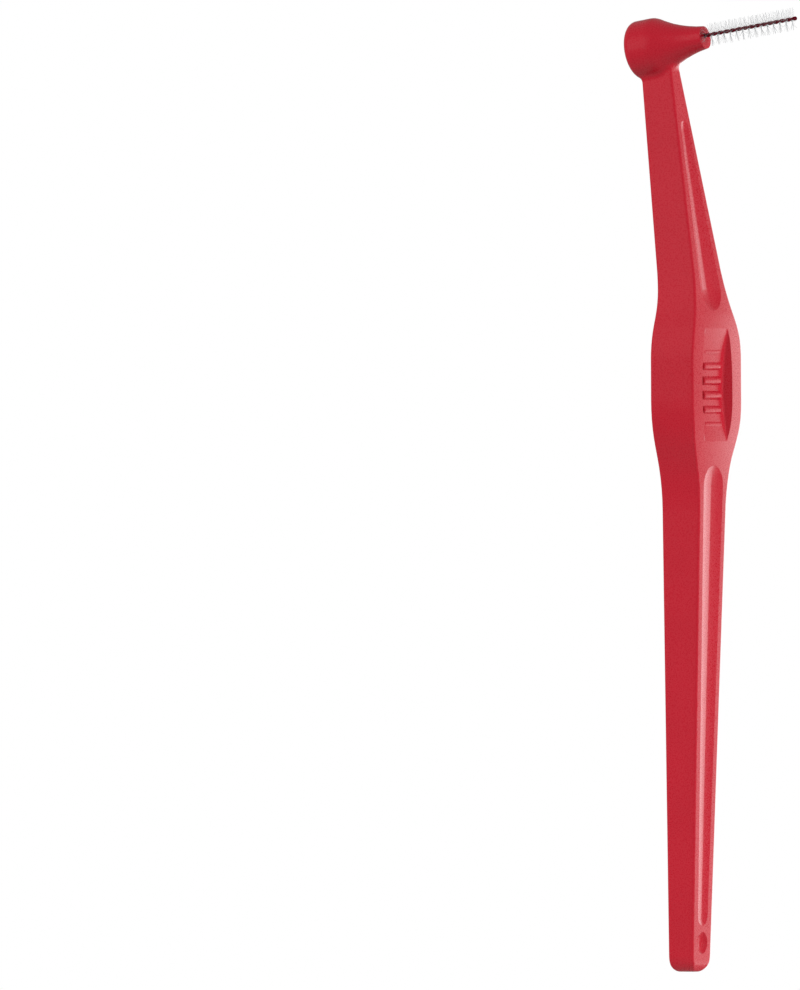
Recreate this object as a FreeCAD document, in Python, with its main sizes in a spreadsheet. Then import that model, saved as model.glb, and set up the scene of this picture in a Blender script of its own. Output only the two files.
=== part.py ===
# Interdental brush: a moulded angled handle, a folded and twisted wire stem with its coating,
# and the nylon filaments that the stem grips.
# Frame: +Z runs up the handle to its head, +X is the way the brush points, Y is the width.
# The origin lies on the flat back of the handle, behind the middle of the thumb rest.
import FreeCAD, Part
import math
import os
import Sketcher

# Driving sizes in millimetres, with angles in degrees and counts as plain numbers.
# A rise or a drop is a height above or below the middle of the thumb rest.
SIZES = {
    # side view of the handle
    "tail_drop": 68.4,
    "tail_depth": 3.25,
    "grip_drop": 6.5,
    "grip_depth": 5.3,
    "thumb_drop": 2.2,
    "thumb_rise": 8.8,
    "thumb_depth": 5.8,
    "bend_rise": 12.0,
    "neck_depth": 4.0,
    "back_bend_radius": 30.0,
    "thumb_bend_radius": 22.0,
    "tail_front_radius": 1.75,
    "tail_back_radius": 1.3,
    # front view of the handle
    "tail_width": 4.6,
    "tail_trim": 0.3,
    "waist_drop": 9.5,
    "waist_width": 7.1,
    "flank_drop": 2.5,
    "flank_rise": 7.5,
    "thumb_width": 12.6,
    "shoulder_rise": 13.5,
    "shoulder_width": 7.7,
    "neck_width": 1.65,
    "tail_corner_radius": 1.9,
    "waist_radius": 18.0,
    "flank_low_radius": 15.0,
    "flank_high_radius": 11.0,
    "shoulder_radius": 20.0,
    "edge_radius": 0.3,
    # the most of a line that the rounding of one corner takes up
    "corner_share": 0.49,
    # head, turned about its own axis
    "mouth_forward": 4.35,
    "mouth_rise": 43.95,
    "head_tilt": 9.5,
    "head_length": 9.6,
    "head_overhang": 0.92,
    "barrel_length": 3.35,
    "barrel_radius": 3.55,
    "barrel_rim_radius": 0.9,
    "barrel_shoulder_radius": 2.0,
    "mouth_radius": 1.37,
    "nozzle_hollow": 0.36,
    "neck_blend_radius": 1.0,
    # flutes and thumb dish in the front face
    "neck_flute_low_rise": 11.2,
    "neck_flute_low_width": 5.0,
    "neck_flute_low_depth": 0.52,
    "neck_flute_high_rise": 34.0,
    "neck_flute_high_width": 1.9,
    "neck_flute_high_depth": 0.2,
    "grip_flute_high_drop": 7.4,
    "grip_flute_high_width": 4.9,
    "grip_flute_high_depth": 0.32,
    "grip_flute_low_drop": 62.6,
    "grip_flute_low_width": 2.45,
    "grip_flute_low_depth": 0.2,
    "dish_rise": 1.9,
    "dish_length": 15.2,
    "dish_width": 7.7,
    "dish_floor_width": 5.8,
    "dish_depth": 0.9,
    "dish_floor_radius": 0.6,
    "rib_count": 6,
    "rib_pitch": 1.75,
    "rib_inset": 0.05,
    "rib_radius": 0.6,
    "rib_end_radius": 0.5,
    "rib_sink": 0.55,
    "dimple_lift": 3.7,
    "dimple_radius": 1.3,
    "dimple_depth": 0.45,
    "dimple_rim_radius": 0.12,
    # wire stem, which leaves the mouth a little above its middle
    "wire_lift": 0.22,
    "brush_tilt": 8.8,
    "stem_reach": 12.6,
    "stem_root": 6.0,
    "twist_pitch": 1.7,
    "core_radius": 0.075,
    "coat_thickness": 0.03,
    "strand_gap": 0.086,
    "bore_clearance": 0.02,
    # filaments
    "whorl_start": 0.2,
    "whorl_count": 14,
    "filaments_per_whorl": 10,
    "filament_radius": 0.04,
    "filament_span": 2.8,
    # how far a cut runs past the surface that it opens
    "overrun": 1.0,
}
NEAR = 1e-6
ON_SKIN = 1e-4
AXIS_X = FreeCAD.Vector(1, 0, 0)
AXIS_Y = FreeCAD.Vector(0, 1, 0)
AXIS_Z = FreeCAD.Vector(0, 0, 1)

doc = FreeCAD.newDocument("interdental_brush")
sheet = doc.addObject("Spreadsheet::Sheet", "sizes")
for row, (alias, value) in enumerate(SIZES.items(), start=1):
    sheet.set("A%d" % row, alias)
    sheet.set("B%d" % row, str(value))
    sheet.setAlias("B%d" % row, alias)
doc.recompute()


def size(alias):
    return float(sheet.get(alias))


# Sketches


def origin_item(body, role):
    return next(item for item in body.Origin.OriginFeatures if item.Role == role)


def new_sketch(body, name, role):
    sketch = body.newObject("Sketcher::SketchObject", name)
    sketch.AttachmentSupport = [(origin_item(body, role), "")]
    sketch.MapMode = "FlatFace"
    return sketch


def hold(sketch, constraint, expression):
    number = sketch.addConstraint(constraint)
    sketch.setExpression("Constraints[%d]" % number, expression)


def add_lines(sketch, corners, closed=True):
    # Straight lines from corner to corner. A corner is two expressions, across and up, and the alias
    # of its radius if it is rounded. An open run leaves out the line from its last corner to its first.
    first = sketch.GeometryCount
    count = len(corners)
    turn = 2 * math.pi / count
    points = [FreeCAD.Vector(math.cos(turn * k), math.sin(turn * k), 0) for k in range(count)]
    lines = count if closed else count - 1
    for k in range(lines):
        sketch.addGeometry(Part.LineSegment(points[k], points[(k + 1) % count]))
    for k in range(lines if closed else lines - 1):
        sketch.addConstraint(Sketcher.Constraint("Coincident", first + k, 2, first + (k + 1) % count, 1))
    for k, corner in enumerate(corners):
        line, end = (first + k, 1) if k < lines else (first + k - 1, 2)
        hold(sketch, Sketcher.Constraint("DistanceX", -1, 1, line, end, points[k].x), corner[0])
        hold(sketch, Sketcher.Constraint("DistanceY", -1, 1, line, end, points[k].y), corner[1])
    doc.recompute()
    for k, corner in enumerate(corners):
        if len(corner) > 2:
            limit = widest_round(corners[k - 1], corner, corners[(k + 1) % count])
            round_corner(sketch, first + (k - 1) % count, first + k, corner[2], limit)


def widest_round(before, corner, after):
    # The radius at which a rounded corner takes up its share of the shorter of its two lines.
    back = ["(%s - (%s))" % pair for pair in zip(before, corner[:2])]
    on = ["(%s - (%s))" % pair for pair in zip(after, corner[:2])]
    lengths = ["sqrt(%s^2 + %s^2)" % (run[0], run[1]) for run in (back, on)]
    cosine = "((%s * %s + %s * %s) / (%s * %s))" % (back[0], on[0], back[1], on[1], lengths[0], lengths[1])
    shorter = "min(%s; %s)" % (lengths[0], lengths[1])
    return "sizes.corner_share * %s * sqrt((1 - %s) / (1 + %s))" % (shorter, cosine, cosine)


def round_corner(sketch, line, next_line, alias, limit=None):
    ends = [(item.StartPoint + item.EndPoint) / 2 for item in (sketch.Geometry[line], sketch.Geometry[next_line])]
    arc = sketch.GeometryCount
    expression = "min(sizes.%s; %s)" % (alias, limit) if limit else "sizes." + alias
    radius = float(sketch.evalExpression(expression))
    sketch.fillet(line, next_line, ends[0], ends[1], radius, True, True)
    hold(sketch, Sketcher.Constraint("Radius", arc, radius), expression)


def add_arc(sketch, centre, radius, start_angle, end_angle):
    circle = Part.Circle(centre, AXIS_Z, radius)
    return sketch.addGeometry(Part.ArcOfCircle(circle, start_angle, end_angle))


# Features of a body


def finish_feature(body, feature):
    doc.recompute()
    body.Tip = feature


def round_edges(body, name, wanted, expression):
    base = body.Tip
    names = ["Edge%d" % number for number, edge in enumerate(base.Shape.Edges, start=1) if wanted(edge)]
    fillet = body.newObject("PartDesign::Fillet", name)
    fillet.Base = (base, names)
    fillet.setExpression("Radius", expression)
    finish_feature(body, fillet)


def lies_along(edge, axis):
    if len(edge.Vertexes) < 2 or not isinstance(edge.Curve, Part.Line):
        return False
    return abs(abs(edge.Curve.Direction.dot(axis)) - 1) < NEAR


def where_meets(before, feature):
    # The edges where a feature's own solid meets the body as it was before.
    tool = feature.AddSubShape.copy()
    tool.Placement = feature.Placement.multiply(tool.Placement)
    skins = [tool.Shells[0], before.Shells[0]]

    def wanted(edge):
        middle = edge.valueAt((edge.FirstParameter + edge.LastParameter) / 2)
        if not tool.BoundBox.isInside(middle):
            return False
        return all(skin.distToShape(Part.Vertex(middle))[0] < ON_SKIN for skin in skins)

    return wanted


def turned_cut(body, name, sketch, axis="H_Axis"):
    groove = body.newObject("PartDesign::Groove", name)
    groove.Profile = sketch
    groove.ReferenceAxis = (sketch, [axis])
    groove.Angle = 360
    finish_feature(body, groove)
    return groove


# Handle

handle = doc.addObject("PartDesign::Body", "handle")
handle.Label = "handle"

# The neck ends inside the head, on its axis, and the head overhangs the back of the neck.
neck_back = "(sizes.mouth_forward - sizes.head_length * cos(sizes.head_tilt * 1 deg) + sizes.head_overhang)"
neck_front = "(%s + sizes.neck_depth)" % neck_back
neck_run = "(sizes.mouth_forward - %s - sizes.neck_depth / 2)" % neck_back
neck_top = "(sizes.mouth_rise - %s * tan(sizes.head_tilt * 1 deg))" % neck_run

# The side view, wider than the thumb rest.
side_view = new_sketch(handle, "side_view", "XZ_Plane")
add_lines(side_view, [
    ("0", "-sizes.tail_drop", "tail_back_radius"),
    ("sizes.tail_depth", "-sizes.tail_drop", "tail_front_radius"),
    ("sizes.grip_depth", "-sizes.grip_drop", "thumb_bend_radius"),
    ("sizes.thumb_depth", "-sizes.thumb_drop", "thumb_bend_radius"),
    ("sizes.thumb_depth", "sizes.thumb_rise", "thumb_bend_radius"),
    (neck_front, neck_top),
    (neck_back, neck_top),
    ("0", "sizes.bend_rise", "back_bend_radius"),
])
side_pad = handle.newObject("PartDesign::Pad", "side_pad")
side_pad.Profile = side_view
side_pad.SideType = "Symmetric"
side_pad.setExpression("Length", "sizes.thumb_width + 2 * sizes.overrun")
finish_feature(handle, side_pad)

# The front view trims that block to its outline.
half_outline = [
    ("sizes.tail_width / 2", "sizes.tail_trim - sizes.tail_drop", "tail_corner_radius"),
    ("sizes.waist_width / 2", "-sizes.waist_drop", "waist_radius"),
    ("sizes.thumb_width / 2", "-sizes.flank_drop", "flank_low_radius"),
    ("sizes.thumb_width / 2", "sizes.flank_rise", "flank_high_radius"),
    ("sizes.shoulder_width / 2", "sizes.shoulder_rise", "shoulder_radius"),
    ("sizes.neck_width / 2", neck_top + " + sizes.overrun"),
]
frame_side = "(sizes.thumb_width / 2 + 2 * sizes.overrun)"
frame_low = "-(sizes.tail_drop + 2 * sizes.overrun)"
frame_high = neck_top + " + 2 * sizes.overrun"
front_view = new_sketch(handle, "front_view", "YZ_Plane")
add_lines(front_view, half_outline + [("-" + corner[0],) + corner[1:] for corner in reversed(half_outline)])
add_lines(front_view, [
    ("-" + frame_side, frame_low),
    (frame_side, frame_low),
    (frame_side, frame_high),
    ("-" + frame_side, frame_high),
])
front_trim = handle.newObject("PartDesign::Pocket", "front_trim")
front_trim.Profile = front_view
front_trim.SideType = "Symmetric"
front_trim.setExpression("Length", "2 * (sizes.thumb_depth + sizes.head_length + sizes.overrun)")
finish_feature(handle, front_trim)


def is_long_edge(edge):
    if lies_along(edge, AXIS_X) or lies_along(edge, AXIS_Y):
        return False
    top = float(side_view.evalExpression(neck_top)) - NEAR
    return not all(vertex.Point.z > top for vertex in edge.Vertexes)


round_edges(handle, "long_edges", is_long_edge, "min(sizes.edge_radius; sizes.corner_share * sizes.neck_width)")


# A sketch that starts at the mouth and looks forward along an axis tilted up.
def mouth_sketch(name, tilt, lift="0"):
    sketch = new_sketch(handle, name, "XZ_Plane")
    sketch.AttachmentOffset = FreeCAD.Placement(FreeCAD.Vector(), FreeCAD.Rotation(AXIS_Z, size(tilt)))
    sketch.setExpression(".AttachmentOffset.Base.x", "sizes.mouth_forward")
    sketch.setExpression(".AttachmentOffset.Base.y", "sizes.mouth_rise + " + lift)
    sketch.setExpression(".AttachmentOffset.Rotation.Angle", "sizes.%s * 1 deg" % tilt)
    return sketch


head_view = mouth_sketch("head_view", "head_tilt")
add_lines(head_view, [
    ("sizes.barrel_length - sizes.head_length", "sizes.barrel_radius"),
    ("-sizes.head_length", "sizes.barrel_radius", "barrel_rim_radius"),
    ("-sizes.head_length", "0"),
    ("0", "0"),
    ("0", "sizes.mouth_radius"),
], closed=False)
barrel_end = FreeCAD.Vector(size("barrel_length") - size("head_length"), size("barrel_radius"), 0)
mouth_edge = FreeCAD.Vector(0, size("mouth_radius"), 0)
chord = mouth_edge - barrel_end
hollow = size("nozzle_hollow")
nozzle_bend = (chord.Length ** 2 / 4 + hollow ** 2) / (2 * hollow)
outward = FreeCAD.Vector(-chord.y, chord.x, 0).normalize()
bend_centre = (barrel_end + mouth_edge) / 2 + outward * (nozzle_bend - hollow)
start_ray = barrel_end - bend_centre
end_ray = mouth_edge - bend_centre
nozzle_arc = add_arc(
    head_view, bend_centre, nozzle_bend, math.atan2(start_ray.y, start_ray.x), math.atan2(end_ray.y, end_ray.x)
)
head_view.addConstraint(Sketcher.Constraint("Coincident", nozzle_arc, 1, 0, 1))
head_view.addConstraint(Sketcher.Constraint("Coincident", nozzle_arc, 2, 3, 2))
chord_squared = "((sizes.head_length - sizes.barrel_length)^2 + (sizes.barrel_radius - sizes.mouth_radius)^2)"
hold(
    head_view,
    Sketcher.Constraint("Radius", nozzle_arc, nozzle_bend),
    "(%s / 4 + sizes.nozzle_hollow^2) / (2 * sizes.nozzle_hollow)" % chord_squared,
)
round_corner(head_view, 0, nozzle_arc, "barrel_shoulder_radius")
barrel_corner = head_view.addGeometry(Part.Point(barrel_end), True)
head_view.addConstraint(Sketcher.Constraint("PointOnObject", barrel_corner, 1, 0))
head_view.addConstraint(Sketcher.Constraint("PointOnObject", barrel_corner, 1, nozzle_arc))
hold(
    head_view,
    Sketcher.Constraint("DistanceX", -1, 1, barrel_corner, 1, barrel_end.x),
    "sizes.barrel_length - sizes.head_length",
)
hold(head_view, Sketcher.Constraint("DistanceY", -1, 1, barrel_corner, 1, barrel_end.y), "sizes.barrel_radius")
doc.recompute()
neck = handle.Tip.Shape
head = handle.newObject("PartDesign::Revolution", "head")
head.Profile = head_view
head.ReferenceAxis = (head_view, ["H_Axis"])
head.Angle = 360
finish_feature(handle, head)
round_edges(handle, "neck_blend", where_meets(neck, head), "sizes.neck_blend_radius")

# The wire's bore, blind in the head.
bore_view = mouth_sketch("bore_view", "brush_tilt", "sizes.wire_lift")
bore_radius = "(sizes.strand_gap / 2 + 2 * (sizes.core_radius + sizes.coat_thickness) + sizes.bore_clearance)"
add_lines(bore_view, [
    ("-sizes.stem_root", "0"),
    ("sizes.overrun", "0"),
    ("sizes.overrun", bore_radius),
    ("-sizes.stem_root", bore_radius),
])
turned_cut(handle, "wire_bore", bore_view)


# A flute is cut by a tapered round-ended bar that lies over the front face, sunk in by its two depths.
def flute(name, low_end, high_end, start_rise, end_rise, start, end):
    run = (high_end - low_end).normalize()
    out = FreeCAD.Vector(run.z, 0, -run.x)
    feet = []
    radii = []
    for rise, piece, inward in ((start_rise, start, 1), (end_rise, end, -1)):
        width, depth = size(piece + "_width"), size(piece + "_depth")
        radius = (width ** 2 / 4 + depth ** 2) / (2 * depth)
        foot = low_end + run * ((rise - low_end.z) / run.z + inward * width / 2)
        feet.append(foot + out * (radius - depth))
        radii.append(radius)
    axis = feet[1] - feet[0]
    lean = math.asin((radii[0] - radii[1]) / axis.Length)
    sketch = new_sketch(handle, name + "_view", "XZ_Plane")
    sketch.AttachmentOffset = FreeCAD.Placement(
        FreeCAD.Vector(feet[0].x, feet[0].z, 0),
        FreeCAD.Rotation(AXIS_Z, math.degrees(math.atan2(axis.z, axis.x))),
    )
    touch = math.pi / 2 - lean
    far = FreeCAD.Vector(axis.Length, 0, 0)
    ray = FreeCAD.Vector(math.cos(touch), math.sin(touch), 0)
    near_arc = add_arc(sketch, FreeCAD.Vector(), radii[0], touch, math.pi)
    far_arc = add_arc(sketch, far, radii[1], 0, touch)
    side = sketch.addGeometry(Part.LineSegment(ray * radii[0], far + ray * radii[1]))
    centre_line = sketch.addGeometry(
        Part.LineSegment(FreeCAD.Vector(-radii[0], 0, 0), far + FreeCAD.Vector(radii[1], 0, 0))
    )
    sketch.addConstraint(Sketcher.Constraint("Tangent", near_arc, 1, side, 1))
    sketch.addConstraint(Sketcher.Constraint("Tangent", side, 2, far_arc, 2))
    sketch.addConstraint(Sketcher.Constraint("Coincident", near_arc, 2, centre_line, 1))
    sketch.addConstraint(Sketcher.Constraint("Coincident", far_arc, 1, centre_line, 2))
    sketch.addConstraint(Sketcher.Constraint("Coincident", near_arc, 3, -1, 1))
    sketch.addConstraint(Sketcher.Constraint("PointOnObject", far_arc, 3, -1))
    sketch.addConstraint(Sketcher.Constraint("PointOnObject", centre_line, 1, -1))
    sketch.addConstraint(Sketcher.Constraint("PointOnObject", centre_line, 2, -1))
    sketch.addConstraint(Sketcher.Constraint("DistanceX", near_arc, 3, far_arc, 3, axis.Length))
    for arc, radius, piece in ((near_arc, radii[0], start), (far_arc, radii[1], end)):
        depth = "sizes.%s_depth" % piece
        hold(
            sketch,
            Sketcher.Constraint("Radius", arc, radius),
            "(sizes.%s_width^2 / 4 + %s^2) / (2 * %s)" % (piece, depth, depth),
        )
    doc.recompute()
    turned_cut(handle, name, sketch)


neck_low = FreeCAD.Vector(size("thumb_depth"), 0, size("thumb_rise"))
neck_high = FreeCAD.Vector(*(float(side_view.evalExpression(way)) for way in (neck_front, "0", neck_top)))
grip_high = FreeCAD.Vector(size("grip_depth"), 0, -size("grip_drop"))
grip_low = FreeCAD.Vector(size("tail_depth"), 0, -size("tail_drop"))
flute(
    "neck_flute", neck_low, neck_high, size("neck_flute_low_rise"), size("neck_flute_high_rise"),
    "neck_flute_low", "neck_flute_high",
)
flute(
    "grip_flute", grip_low, grip_high, -size("grip_flute_low_drop"), -size("grip_flute_high_drop"),
    "grip_flute_low", "grip_flute_high",
)

# The thumb dish: a ring that lies across the thumb rest cuts a hollow floor and two sloping walls.
dish_bow = "((sizes.dish_length^2 / 4 + sizes.dish_depth^2) / (2 * sizes.dish_depth))"
wall_slope = "((sizes.dish_width - sizes.dish_floor_width) / (2 * sizes.dish_depth))"
floor_side = "(sizes.dish_floor_width / 2)"
open_side = "(sizes.dish_width / 2 + sizes.overrun * %s)" % wall_slope
dish_view = new_sketch(handle, "dish_view", "XY_Plane")
dish_view.setExpression(".AttachmentOffset.Base.x", "sizes.thumb_depth - sizes.dish_depth + " + dish_bow)
dish_view.setExpression(".AttachmentOffset.Base.z", "sizes.dish_rise")
add_lines(dish_view, [
    ("-" + dish_bow, "-" + floor_side, "dish_floor_radius"),
    ("-" + dish_bow, floor_side, "dish_floor_radius"),
    ("sizes.dish_depth + sizes.overrun - " + dish_bow, open_side),
    ("sizes.dish_depth + sizes.overrun - " + dish_bow, "-" + open_side),
])
doc.recompute()
turned_cut(handle, "thumb_dish", dish_view, "V_Axis")

# Low round ribs across its floor, which end short of the floor's rounded corners.
rib_side = "(%s - sizes.dish_floor_radius - sizes.rib_inset)" % floor_side
rib_view = new_sketch(handle, "rib_view", "XY_Plane")
rib_view.setExpression(".AttachmentOffset.Base.x", "sizes.thumb_depth - sizes.rib_sink - sizes.rib_radius")
rib_view.setExpression(
    ".AttachmentOffset.Base.z", "sizes.dish_rise - sizes.rib_pitch * (sizes.rib_count - 1) / 2"
)
add_lines(rib_view, [
    ("0", "-" + rib_side),
    ("sizes.rib_radius", "-" + rib_side, "rib_end_radius"),
    ("sizes.rib_radius", rib_side, "rib_end_radius"),
    ("0", rib_side),
])
rib = handle.newObject("PartDesign::Revolution", "thumb_rib")
rib.Profile = rib_view
rib.ReferenceAxis = (rib_view, ["V_Axis"])
rib.Angle = 360
finish_feature(handle, rib)
ribs = handle.newObject("PartDesign::LinearPattern", "thumb_ribs")
ribs.Originals = [rib]
ribs.Direction = (rib_view, ["N_Axis"])
ribs.setExpression("Length", "sizes.rib_pitch * (sizes.rib_count - 1)")
ribs.Occurrences = int(size("rib_count"))
finish_feature(handle, ribs)

# The round dimple near the tail, as a ball would leave it.
tail_slope = "(sizes.grip_depth - sizes.tail_depth) / (sizes.tail_drop - sizes.grip_drop)"
ball_radius = "(sizes.dimple_radius^2 + sizes.dimple_depth^2) / (2 * sizes.dimple_depth)"
dimple_floor = "sizes.tail_depth + sizes.dimple_lift * %s - sizes.dimple_depth" % tail_slope
tail_face = handle.Tip.Shape
dimple = handle.newObject("PartDesign::SubtractiveSphere", "tail_dimple")
dimple.setExpression("Radius", ball_radius)
dimple.setExpression(".Placement.Base.x", dimple_floor + " + " + ball_radius)
dimple.setExpression(".Placement.Base.z", "sizes.dimple_lift - sizes.tail_drop")
finish_feature(handle, dimple)
round_edges(handle, "tail_dimple_rim", where_meets(tail_face, dimple), "sizes.dimple_rim_radius")

# Wire stem: one coated wire, folded at the tip, its two strands twisted to the left about the brush axis.

tilt = math.radians(size("brush_tilt"))
brush_axis = FreeCAD.Vector(math.cos(tilt), 0, math.sin(tilt))
brush_up = FreeCAD.Vector(-math.sin(tilt), 0, math.cos(tilt))
mouth = FreeCAD.Vector(size("mouth_forward"), 0, size("mouth_rise") + size("wire_lift"))
strand_radius = size("core_radius") + size("coat_thickness")
lay_radius = size("strand_gap") / 2 + strand_radius


def lay(along, lead=0.0):
    # The way from the axis to the first strand at a distance along from the mouth, or a lead in turns past it.
    angle = 2 * math.pi * (lead - along / size("twist_pitch"))
    return AXIS_Y * math.cos(angle) + brush_up * math.sin(angle)


def strand_place(along, lead):
    # A strand's centre and its direction towards the tip.
    centre = mouth + brush_axis * along + lay(along, lead) * lay_radius
    run = brush_axis * size("twist_pitch") - lay(along, lead + 0.25) * (2 * math.pi * lay_radius)
    return centre, run.normalize()


def arc_between(start, direction, end):
    reach = end - start
    side = (reach - direction * reach.dot(direction)).normalize()
    centre = start + side * (reach.dot(reach) / (2 * reach.dot(side)))
    halfway = (start - centre) + (end - centre)
    middle = centre + halfway.normalize() * (start - centre).Length
    return Part.Arc(start, middle, end).toShape()


def two_arcs(start, direction, end, end_direction):
    reach = end - start
    both = direction + end_direction
    spread = 2 * (1 - direction.dot(end_direction))
    along = reach.dot(both)
    arm = (math.sqrt(along ** 2 + spread * reach.dot(reach)) - along) / spread
    joint = (start + end + (direction - end_direction) * arm) / 2
    return [arc_between(start, direction, joint), arc_between(end, end_direction * -1, joint)]


stem_foot = strand_radius - size("stem_root")
fold = size("stem_reach") - lay_radius - strand_radius
steps = math.ceil(4 * (fold - stem_foot) / size("twist_pitch"))
stops = [stem_foot + (fold - stem_foot) * k / steps for k in range(steps + 1)]
places = [strand_place(along, 0) for along in stops]
for centre, direction in reversed([strand_place(along, 0.5) for along in stops]):
    places.append((centre, direction * -1))
arcs = []
for first, second in zip(places, places[1:]):
    arcs.extend(two_arcs(first[0], first[1], second[0], second[1]))
stem_line = doc.addObject("Part::Feature", "stem_line")
stem_line.Shape = Part.Wire(arcs)


def stem_sweep(name, expression):
    ring = doc.addObject("Part::Circle", name + "_ring")
    ring.setExpression("Radius", expression)
    ring.Placement = FreeCAD.Placement(places[0][0], FreeCAD.Rotation(AXIS_Z, places[0][1]))
    sweep = doc.addObject("Part::Sweep", name)
    sweep.Sections = [ring]
    sweep.Spine = stem_line
    sweep.Solid = True
    doc.recompute()
    return sweep


core = stem_sweep("wire_core", "sizes.core_radius")
coated = stem_sweep("coated_wire", "sizes.core_radius + sizes.coat_thickness")
coating = doc.addObject("Part::Cut", "wire_coating")
coating.Base = coated
coating.Tool = core
doc.recompute()

# Filaments: each is held between the strands at its middle, so each half turn of the twist fans out one whorl.
whorls = []
per_whorl = int(size("filaments_per_whorl"))
filament_step = size("twist_pitch") / 2 / per_whorl
for number in range(int(size("whorl_count"))):
    filaments = []
    for k in range(per_whorl):
        along = size("whorl_start") + filament_step * (number * per_whorl + k + 0.5)
        way = lay(along, 0.25)
        filament = doc.addObject("Part::Cylinder", "filament_%02d_%02d" % (number + 1, k + 1))
        filament.setExpression("Radius", "sizes.filament_radius")
        filament.setExpression("Height", "sizes.filament_span")
        filament.Placement = FreeCAD.Placement(
            mouth + brush_axis * along - way * (size("filament_span") / 2), FreeCAD.Rotation(AXIS_Z, way)
        )
        filaments.append(filament)
    whorl = doc.addObject("Part::Compound", "bristle_whorl_%02d" % (number + 1))
    whorl.Links = filaments
    whorls.append(whorl)
doc.recompute()

# Each piece goes to its own file once the whole model is sound.
pieces = [handle, core, coating] + whorls
for item in doc.Objects:
    if "Invalid" in item.State or "Error" in item.State:
        raise ValueError("%s is %s" % (item.Name, item.State))
os.makedirs("parts", exist_ok=True)
for piece in pieces:
    piece.Label = piece.Name
    if piece.Shape.isNull() or not piece.Shape.isValid():
        raise ValueError("%s has no sound shape" % piece.Label)
    piece.Shape.exportStep("parts/%s.step" % piece.Label)
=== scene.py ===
import bmesh
import bpy
import math
import random
from mathutils import Matrix, Vector


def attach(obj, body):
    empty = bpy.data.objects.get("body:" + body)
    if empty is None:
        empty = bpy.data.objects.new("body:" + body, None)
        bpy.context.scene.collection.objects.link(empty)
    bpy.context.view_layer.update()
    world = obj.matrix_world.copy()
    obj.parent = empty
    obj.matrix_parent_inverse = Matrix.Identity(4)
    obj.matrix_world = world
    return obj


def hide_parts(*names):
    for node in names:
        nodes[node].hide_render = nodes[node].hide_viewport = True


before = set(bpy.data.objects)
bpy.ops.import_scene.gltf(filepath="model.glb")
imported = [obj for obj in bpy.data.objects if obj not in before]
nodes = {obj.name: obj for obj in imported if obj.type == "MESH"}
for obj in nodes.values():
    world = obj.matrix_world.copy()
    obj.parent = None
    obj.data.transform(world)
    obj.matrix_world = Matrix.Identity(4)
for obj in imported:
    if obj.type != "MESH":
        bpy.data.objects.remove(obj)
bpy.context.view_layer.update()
scene = bpy.context.scene
scene.view_settings.view_transform = "Standard"
print("frame loaded:", len(nodes), "nodes")

mm = 0.001


# colour, node and mesh helpers

# colour sockets of a Mix node, by number because their names repeat
mixFirst = 6
mixSecond = 7
mixResult = 2


def hexLinear(code):
    # sRGB hex to linear RGBA
    channels = [int(code[k:k + 2], 16) / 255 for k in (1, 3, 5)]
    return [c / 12.92 if c <= 0.04045 else ((c + 0.055) / 1.055) ** 2.4 for c in channels] + [1.0]


def addNode(tree, kind, settings=None, sources=(), **links):
    # a node with its properties or socket values set, and its inputs linked in order or by name
    node = tree.nodes.new(kind)
    for name, value in (settings or {}).items():
        if isinstance(name, int) or name in node.inputs.keys():
            node.inputs[name].default_value = value
        else:
            setattr(node, name, value)
    for target, source in zip(node.inputs, sources):
        tree.links.new(source, target)
    for name, source in links.items():
        target = next(s for s in node.inputs if s.name.replace(" ", "") == name and s.enabled)
        tree.links.new(source, target)
    return node


def newMaterial(name):
    material = bpy.data.materials.new(name)
    material.use_nodes = True
    material.node_tree.nodes.clear()
    return material, material.node_tree


def closeMaterial(tree, shader):
    addNode(tree, "ShaderNodeOutputMaterial", Surface=shader.outputs[0])


def setMaterial(obj, material):
    obj.data.materials.clear()
    obj.data.materials.append(material)


def meshObject(name, shape):
    # the shape as an object at the origin
    mesh = bpy.data.meshes.new(name)
    shape.to_mesh(mesh)
    shape.free()
    obj = bpy.data.objects.new(name, mesh)
    scene.collection.objects.link(obj)
    return obj


# handle finish

handleLook = {
    "red": "#BE182C",
    "redDeep": "#B41427",         # where the colour batch runs a little darker
    "roughness": (0.23, 0.34),    # in the hollows and on the tops of the grain
    "grainSpan": (0.3, 0.7),      # noise levels taken as hollow and top
    "ior": 1.49,
    "flowSize": 9.0,              # mm, drift of the colour along the moulding
    "grainSize": 0.16,            # mm, real grain is about 0.05, drawn coarse enough to show
    "grainHeight": 0.0012,        # mm
    "peelSize": 0.9,              # mm, faint waviness of the moulded skin
    "peelHeight": 0.004,          # mm
    "crown": 0.0046,              # mm per mm squared off the middle, slight crown of the thumb rest
    "crownLow": -13.0,            # mm, where the crown starts and ends along the handle
    "crownHigh": 15.0,
    "crownFade": 5.0,
}


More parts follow.
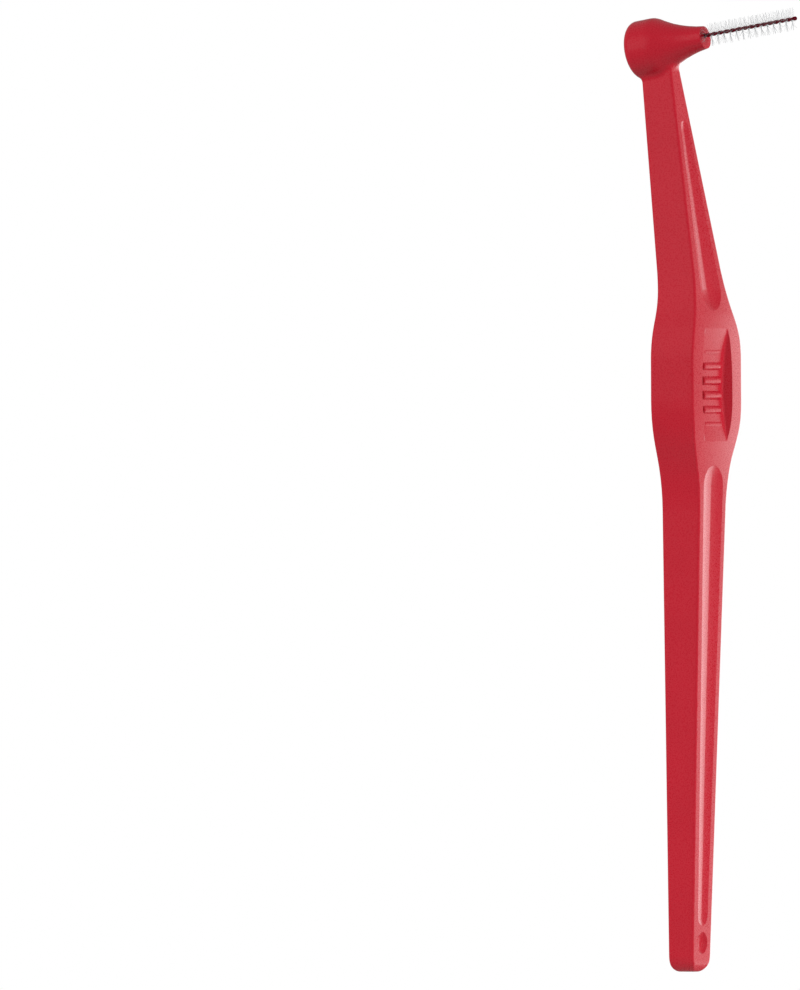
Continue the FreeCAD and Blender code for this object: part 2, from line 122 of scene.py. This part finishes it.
def makeHandleFinish(look):
    # injection-moulded polypropylene: waxy satin skin, fine spark-eroded grain copied from the mould
    material, tree = newMaterial("satin_moulded_polypropylene")
    where = addNode(tree, "ShaderNodeTexCoord")
    flow = addNode(tree, "ShaderNodeTexNoise", {"Scale": 1 / (look["flowSize"] * mm), "Detail": 2.0},
                   Vector=where.outputs["Object"])
    colour = addNode(tree, "ShaderNodeMix",
                     {"data_type": "RGBA", mixFirst: hexLinear(look["red"]),
                      mixSecond: hexLinear(look["redDeep"])}, Factor=flow.outputs["Fac"])
    grain = addNode(tree, "ShaderNodeTexNoise", {"Scale": 1 / (look["grainSize"] * mm), "Detail": 3.0},
                    Vector=where.outputs["Object"])
    gloss = addNode(tree, "ShaderNodeMapRange",
                    {"From Min": look["grainSpan"][0], "From Max": look["grainSpan"][1],
                     "To Min": look["roughness"][0], "To Max": look["roughness"][1]},
                    Value=grain.outputs["Fac"])
    peel = addNode(tree, "ShaderNodeTexNoise", {"Scale": 1 / (look["peelSize"] * mm), "Detail": 1.0},
                   Vector=where.outputs["Object"])
    # the crown falls off with the square of the distance from the middle, and fades out along the handle
    spot = addNode(tree, "ShaderNodeSeparateXYZ", Vector=where.outputs["Object"])
    foot = addNode(tree, "ShaderNodeMapRange",
                   {"interpolation_type": "SMOOTHSTEP", "From Min": look["crownLow"] * mm,
                    "From Max": (look["crownLow"] + look["crownFade"]) * mm}, Value=spot.outputs["Z"])
    crest = addNode(tree, "ShaderNodeMapRange",
                    {"interpolation_type": "SMOOTHSTEP", "From Min": look["crownHigh"] * mm,
                     "From Max": (look["crownHigh"] - look["crownFade"]) * mm}, Value=spot.outputs["Z"])
    square = addNode(tree, "ShaderNodeMath", {"operation": "MULTIPLY"},
                     [spot.outputs["Y"], spot.outputs["Y"]])
    within = addNode(tree, "ShaderNodeMath", {"operation": "MULTIPLY"},
                     [foot.outputs["Result"], crest.outputs["Result"]])
    arch = addNode(tree, "ShaderNodeMath", {"operation": "MULTIPLY"},
                   [square.outputs[0], within.outputs[0]])
    crown = addNode(tree, "ShaderNodeBump",
                    {"Strength": 1.0, "Distance": look["crown"] / mm, "invert": True},
                    Height=arch.outputs[0])
    wave = addNode(tree, "ShaderNodeBump", {"Strength": 1.0, "Distance": look["peelHeight"] * mm},
                   Height=peel.outputs["Fac"], Normal=crown.outputs["Normal"])
    bump = addNode(tree, "ShaderNodeBump", {"Strength": 1.0, "Distance": look["grainHeight"] * mm},
                   Height=grain.outputs["Fac"], Normal=wave.outputs["Normal"])
    shader = addNode(tree, "ShaderNodeBsdfPrincipled", {"IOR": look["ior"]},
                     BaseColor=colour.outputs[mixResult], Roughness=gloss.outputs["Result"],
                     Normal=bump.outputs["Normal"])
    closeMaterial(tree, shader)
    return material


setMaterial(nodes["handle"], makeHandleFinish(handleLook))
print("handle finished")


# wire finish

wireLook = {
    "coat": "#440713",
    # lighter red, a painted highlight that noise scatters in patches over the coat
    "coatWorn": "#701122",
    "coatRoughness": 0.5,
    "coatIor": 1.5,
    "coatGloss": 0.08,
    "wearSize": 0.25,               # mm
    "steel": "#B9B7B2",
    "steelRoughness": (0.2, 0.35),
    "lineSize": 0.05,               # mm, marks of the drawing die
}


def makeCoatFinish(look):
    # thin dip-coated polymer on wire: dark wine red with little shine, and lighter red patches scattered by
    # noise as painted highlights
    material, tree = newMaterial("maroon_polymer_coat")
    where = addNode(tree, "ShaderNodeTexCoord")
    # painted highlights: noise mixes lighter red patches into the dark coat colour
    glintNoise = addNode(tree, "ShaderNodeTexNoise", {"Scale": 1 / (look["wearSize"] * mm), "Detail": 2.0},
                   Vector=where.outputs["Object"])
    colour = addNode(tree, "ShaderNodeMix",
                     {"data_type": "RGBA", mixFirst: hexLinear(look["coat"]),
                      mixSecond: hexLinear(look["coatWorn"])}, Factor=glintNoise.outputs["Fac"])
    shader = addNode(tree, "ShaderNodeBsdfPrincipled",
                     {"IOR": look["coatIor"], "Roughness": look["coatRoughness"],
                      "Specular IOR Level": look["coatGloss"]}, BaseColor=colour.outputs[mixResult])
    closeMaterial(tree, shader)
    return material


def makeSteelFinish(look):
    # drawn stainless wire: bright, with fine marks from the die
    material, tree = newMaterial("drawn_stainless_wire")
    where = addNode(tree, "ShaderNodeTexCoord")
    lines = addNode(tree, "ShaderNodeTexNoise", {"Scale": 1 / (look["lineSize"] * mm), "Detail": 1.0},
                    Vector=where.outputs["Object"])
    gloss = addNode(tree, "ShaderNodeMapRange",
                    {"To Min": look["steelRoughness"][0], "To Max": look["steelRoughness"][1]},
                    Value=lines.outputs["Fac"])
    shader = addNode(tree, "ShaderNodeBsdfPrincipled",
                     {"Metallic": 1.0, "Base Color": hexLinear(look["steel"])},
                     Roughness=gloss.outputs["Result"])
    closeMaterial(tree, shader)
    return material


setMaterial(nodes["wire_core"], makeSteelFinish(wireLook))
print("wire finished")


# brush axis and twist, shared by the stem and the filaments

brush = {
    "mouth": (4.35, 0.0, 44.17),  # mm, where the stem leaves the nozzle
    "tilt": 8.8,                  # degrees above level
    "twistPitch": 1.7,            # mm
    "startTurn": 0.25,            # turns, how the filaments point at the mouth
}


def brushFrame(brush):
    # mouth of the nozzle, then the brush axis and the two directions across it
    tilt = math.radians(brush["tilt"])
    axis = Vector((math.cos(tilt), 0, math.sin(tilt)))
    rise = Vector((-math.sin(tilt), 0, math.cos(tilt)))
    return Vector(brush["mouth"]) * mm, axis, Vector((0, 1, 0)), rise


def twistTurn(brush, along):
    # which way the filaments point at this distance past the mouth
    return 2 * math.pi * (brush["startTurn"] - along / brush["twistPitch"])


# twisted stem

stem = {
    "reach": 12.6,                # mm past the mouth, to the outside of the fold
    "root": 6.0,                  # mm inside the head
    "strand": 0.125,              # mm, radius of one coated strand
    "strandGap": 0.002,           # mm, the two strands are all but pressed together
    "strandSides": 12,
    "stepsPerTurn": 24,
    "foldSteps": 12,
}


def makeStem(brush, stem):
    # one wire, up along the twist, over the fold at the tip and back down
    mouth, axis, across, rise = brushFrame(brush)
    centre = stem["strand"] + stem["strandGap"] / 2
    foldAt = stem["reach"] - stem["strand"] - centre
    run = foldAt + stem["root"]
    turns = run / brush["twistPitch"]
    steps = round(turns * stem["stepsPerTurn"])
    lead = math.atan(2 * math.pi * centre / brush["twistPitch"])

    def around(along):
        # out from the axis to a strand, and the way that the strand goes round
        turn = twistTurn(brush, along) + math.pi / 2
        outward = across * math.cos(turn) + rise * math.sin(turn)
        return outward, outward.cross(axis)

    outward, sideways = around(-stem["root"])
    heading = axis * math.cos(lead) + sideways * math.sin(lead)
    place = Matrix((outward, heading.cross(outward), heading)).transposed().to_4x4()
    place.translation = mouth - axis * stem["root"] * mm + outward * centre * mm
    shape = bmesh.new()
    bmesh.ops.create_circle(shape, segments=stem["strandSides"], radius=stem["strand"] * mm, matrix=place)
    ring = shape.verts[:] + shape.edges[:]
    step = axis * run * mm / steps
    up = bmesh.ops.spin(shape, geom=ring, cent=mouth, axis=axis, dvec=step,
                        angle=-2 * math.pi * turns, steps=steps)
    outward, sideways = around(foldAt)
    over = bmesh.ops.spin(shape, geom=up["geom_last"], cent=mouth + axis * foldAt * mm, axis=sideways,
                          angle=math.pi, steps=stem["foldSteps"])
    bmesh.ops.spin(shape, geom=over["geom_last"], cent=mouth, axis=axis, dvec=-step,
                   angle=2 * math.pi * turns, steps=steps)
    bmesh.ops.holes_fill(shape, edges=[e for e in shape.edges if e.is_boundary])
    bmesh.ops.recalc_face_normals(shape, faces=shape.faces)
    piece = meshObject("coated_stem", shape)
    piece.data.shade_smooth()
    setMaterial(piece, makeCoatFinish(wireLook))
    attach(piece, "root")
    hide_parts("wire_coating")
    print("stem faces", len(piece.data.polygons))


makeStem(brush, stem)


# nylon filaments

nylonLook = {
    # grey in place of near-clear white: painted shade for the darkening that refraction gives the filament
    # edges
    "nylon": "#B6B9BB",
    "roughness": (0.28, 0.44),    # where the filament is clear and where it is cloudy
    "alpha": 0.33,                # the clear share lets the background through
    "ior": 1.53,
    "streakSize": 0.4,            # mm
}

whorls = {
    "start": 0.2,                 # mm past the mouth
    "count": 14,
    "perWhorl": 15,
    "radius": 0.021,              # mm
    "span": 2.76,                 # mm, tip to tip
    "sides": 5,
    "cuts": 5,
    "bend": 0.22,                 # mm, most that a tip leans over
    "seed": 7,
}


def makeNylonFinish(look):
    # drawn nylon monofilament: clear to milky, smooth, a little cloudier in stretches; its grey base colour
    # is painted shade for the darkening at its refracting edges
    material, tree = newMaterial("drawn_nylon_filament")
    where = addNode(tree, "ShaderNodeTexCoord")
    streak = addNode(tree, "ShaderNodeTexNoise", {"Scale": 1 / (look["streakSize"] * mm), "Detail": 1.0},
                     Vector=where.outputs["Object"])
    gloss = addNode(tree, "ShaderNodeMapRange",
                    {"To Min": look["roughness"][0], "To Max": look["roughness"][1]},
                    Value=streak.outputs["Fac"])
    shader = addNode(tree, "ShaderNodeBsdfPrincipled",
                     {"Base Color": hexLinear(look["nylon"]), "IOR": look["ior"],
                      "Alpha": look["alpha"]}, Roughness=gloss.outputs["Result"])
    closeMaterial(tree, shader)
    return material


def makeFilament(whorls):
    # one straight filament along Z, cut across its length so that it can be bent
    shape = bmesh.new()
    bmesh.ops.create_cone(shape, cap_ends=True, segments=whorls["sides"], radius1=whorls["radius"] * mm,
                          radius2=whorls["radius"] * mm, depth=whorls["span"] * mm)
    longEdges = [e for e in shape.edges if abs(e.verts[0].co.z - e.verts[1].co.z) > whorls["radius"] * mm]
    bmesh.ops.subdivide_edges(shape, edges=longEdges, cuts=whorls["cuts"])
    mesh = bpy.data.meshes.new("filament")
    shape.to_mesh(mesh)
    shape.free()
    return mesh


def makeWhorls(brush, whorls):
    nylon = makeNylonFinish(nylonLook)
    filament = makeFilament(whorls)
    dice = random.Random(whorls["seed"])
    mouth, axis, across, rise = brushFrame(brush)
    step = brush["twistPitch"] / 2 / whorls["perWhorl"]
    half = whorls["span"] * mm / 2
    bend = whorls["bend"] * mm
    for number in range(whorls["count"]):
        shape = bmesh.new()
        for k in range(whorls["perWhorl"]):
            along = whorls["start"] + step * (number * whorls["perWhorl"] + k + 0.5)
            turn = twistTurn(brush, along)
            way = across * math.cos(turn) + rise * math.sin(turn)
            place = Matrix((axis.cross(way), axis, way)).transposed().to_4x4()
            place.translation = mouth + axis * along * mm
            before = len(shape.verts)
            shape.from_mesh(filament)
            shape.verts.ensure_lookup_table()
            fresh = shape.verts[before:]
            # each half leans its own way, most at its tip
            leans = [(dice.uniform(-bend, bend), dice.uniform(-bend, bend)) for _ in range(2)]
            for v in fresh:
                lean = leans[0] if v.co.z > 0 else leans[1]
                reach = (v.co.z / half) ** 2
                v.co.x += lean[0] * reach
                v.co.y += lean[1] * reach
            bmesh.ops.transform(shape, matrix=place, verts=fresh)
        label = "whorl_%02d" % (number + 1)
        piece = meshObject("nylon_" + label, shape)
        piece.data.shade_smooth()
        setMaterial(piece, nylon)
        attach(piece, "root")
        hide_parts("bristle_" + label)


makeWhorls(brush, whorls)
print("filaments placed")


# floor and world

stageLook = {
    "floorDrop": 80.0,            # mm below the thumb rest
    "floorSize": 0.26,            # m across
    "floorSides": 96,
    "floor": "#F4F4F2",
    "floorRoughness": (0.55, 0.7),
    "fleckSize": 1.11,            # mm
    "floorGlow": 0.3,             # lifts the board to near white for the camera alone
    "ambient": 0.2,               # world as light on the object
    "mirrored": 0.3,              # world as the satin red mirrors it, no metal or glass shows
}


def makeFloor(look):
    # matt painted board: even near-white with a faint fleck in its gloss
    material, tree = newMaterial("matt_white_board")
    where = addNode(tree, "ShaderNodeTexCoord")
    fleck = addNode(tree, "ShaderNodeTexNoise", {"Scale": 1 / (look["fleckSize"] * mm)},
                    Vector=where.outputs["Object"])
    tone = addNode(tree, "ShaderNodeMapRange",
                   {"To Min": look["floorRoughness"][0], "To Max": look["floorRoughness"][1]},
                   Value=fleck.outputs["Fac"])
    path = addNode(tree, "ShaderNodeLightPath")
    glow = addNode(tree, "ShaderNodeMapRange", {"To Max": look["floorGlow"]},
                   Value=path.outputs["Is Camera Ray"])
    shader = addNode(tree, "ShaderNodeBsdfPrincipled",
                     {"Base Color": hexLinear(look["floor"]), "Emission Color": hexLinear(look["floor"])},
                     Roughness=tone.outputs["Result"], EmissionStrength=glow.outputs["Result"])
    closeMaterial(tree, shader)
    material.cycles.emission_sampling = "NONE"  # the glow lights nothing
    board = bmesh.new()
    bmesh.ops.create_circle(board, cap_ends=True, segments=look["floorSides"], radius=look["floorSize"] / 2,
                            matrix=Matrix.Translation((0, 0, -look["floorDrop"] * mm)))
    floor = meshObject("floor", board)
    setMaterial(floor, material)
    floor.visible_glossy = False


def makeWorld(look):
    # white to the camera and through the filaments, dimmer as a light and in the gloss
    world = bpy.data.worlds.new("studio")
    world.use_nodes = True
    scene.world = world
    tree = world.node_tree
    tree.nodes.clear()
    path = addNode(tree, "ShaderNodeLightPath")
    soft = addNode(tree, "ShaderNodeMapRange", {"To Min": look["ambient"], "To Max": look["mirrored"]},
                   Value=path.outputs["Is Glossy Ray"])
    seen = addNode(tree, "ShaderNodeMath", {"operation": "MAXIMUM"},
                   [path.outputs["Is Camera Ray"], path.outputs["Is Transmission Ray"]])
    level = addNode(tree, "ShaderNodeMath", {"operation": "MAXIMUM"},
                    [soft.outputs["Result"], seen.outputs[0]])
    sky = addNode(tree, "ShaderNodeBackground", {"Color": (1, 1, 1, 1)}, Strength=level.outputs[0])
    addNode(tree, "ShaderNodeOutputWorld", Surface=sky.outputs[0])


makeFloor(stageLook)
makeWorld(stageLook)


# lamps

lamps = {
    # name: place in m, width and height in m, brightness of its face, whether it mirrors in a gloss
    "left": ((-0.295, -0.857, 0.350), 0.8, 0.8, 4.6, False),
    "right": ((0.930, 0.338, 0.100), 0.8, 0.5, 8.8, False),
    "panel": ((0.060, 0.895, -0.085), 0.72, 0.46, 2.2, True),
}


def makeLamps(lamps):
    for name, (place, width, height, brightness, mirrors) in lamps.items():
        lamp = bpy.data.lights.new(name, "AREA")
        lamp.shape = "RECTANGLE"
        lamp.size = width
        lamp.size_y = height
        lamp.energy = brightness * math.pi * width * height
        obj = bpy.data.objects.new(name, lamp)
        scene.collection.objects.link(obj)
        obj.visible_glossy = mirrors
        obj.location = place
        obj.rotation_euler = (-Vector(place)).to_track_quat("-Z", "Y").to_euler()


makeLamps(lamps)
print("stage lit")


# camera

view = {
    "azimuth": 28.0,              # degrees, as the object is seen
    "roll": 0.26,                 # degrees
    "distance": 3.0,              # m
    "frameHeight": 118.8,         # mm at the object
    "aimAcross": -33.03,          # mm, frame centre from the origin
    "aimUp": -10.76,              # mm
    "sensor": 36.0,               # mm
    "clipEnd": 50.0,              # m
}


def makeCamera(view):
    swing = math.degrees(math.atan2(-view["aimAcross"] * mm, view["distance"]))
    azimuth = math.radians(view["azimuth"] + swing)
    across = Vector((math.cos(azimuth), math.sin(azimuth), 0))
    look = Vector((-math.sin(azimuth), math.cos(azimuth), 0))
    aim = across * view["aimAcross"] * mm + Vector((0, 0, view["aimUp"] * mm))
    camera = bpy.data.cameras.new("camera")
    camera.sensor_fit = "VERTICAL"
    camera.sensor_height = view["sensor"]
    camera.lens = view["sensor"] * view["distance"] / (view["frameHeight"] * mm)
    camera.clip_end = view["clipEnd"]
    obj = bpy.data.objects.new("camera", camera)
    scene.collection.objects.link(obj)
    turn = look.to_track_quat("-Z", "Y").to_matrix()
    turn = turn @ Matrix.Rotation(math.radians(-view["roll"]), 3, "Z")
    obj.matrix_world = Matrix.Translation(aim - look * view["distance"]) @ turn.to_4x4()
    scene.camera = obj


makeCamera(view)
print("camera set")
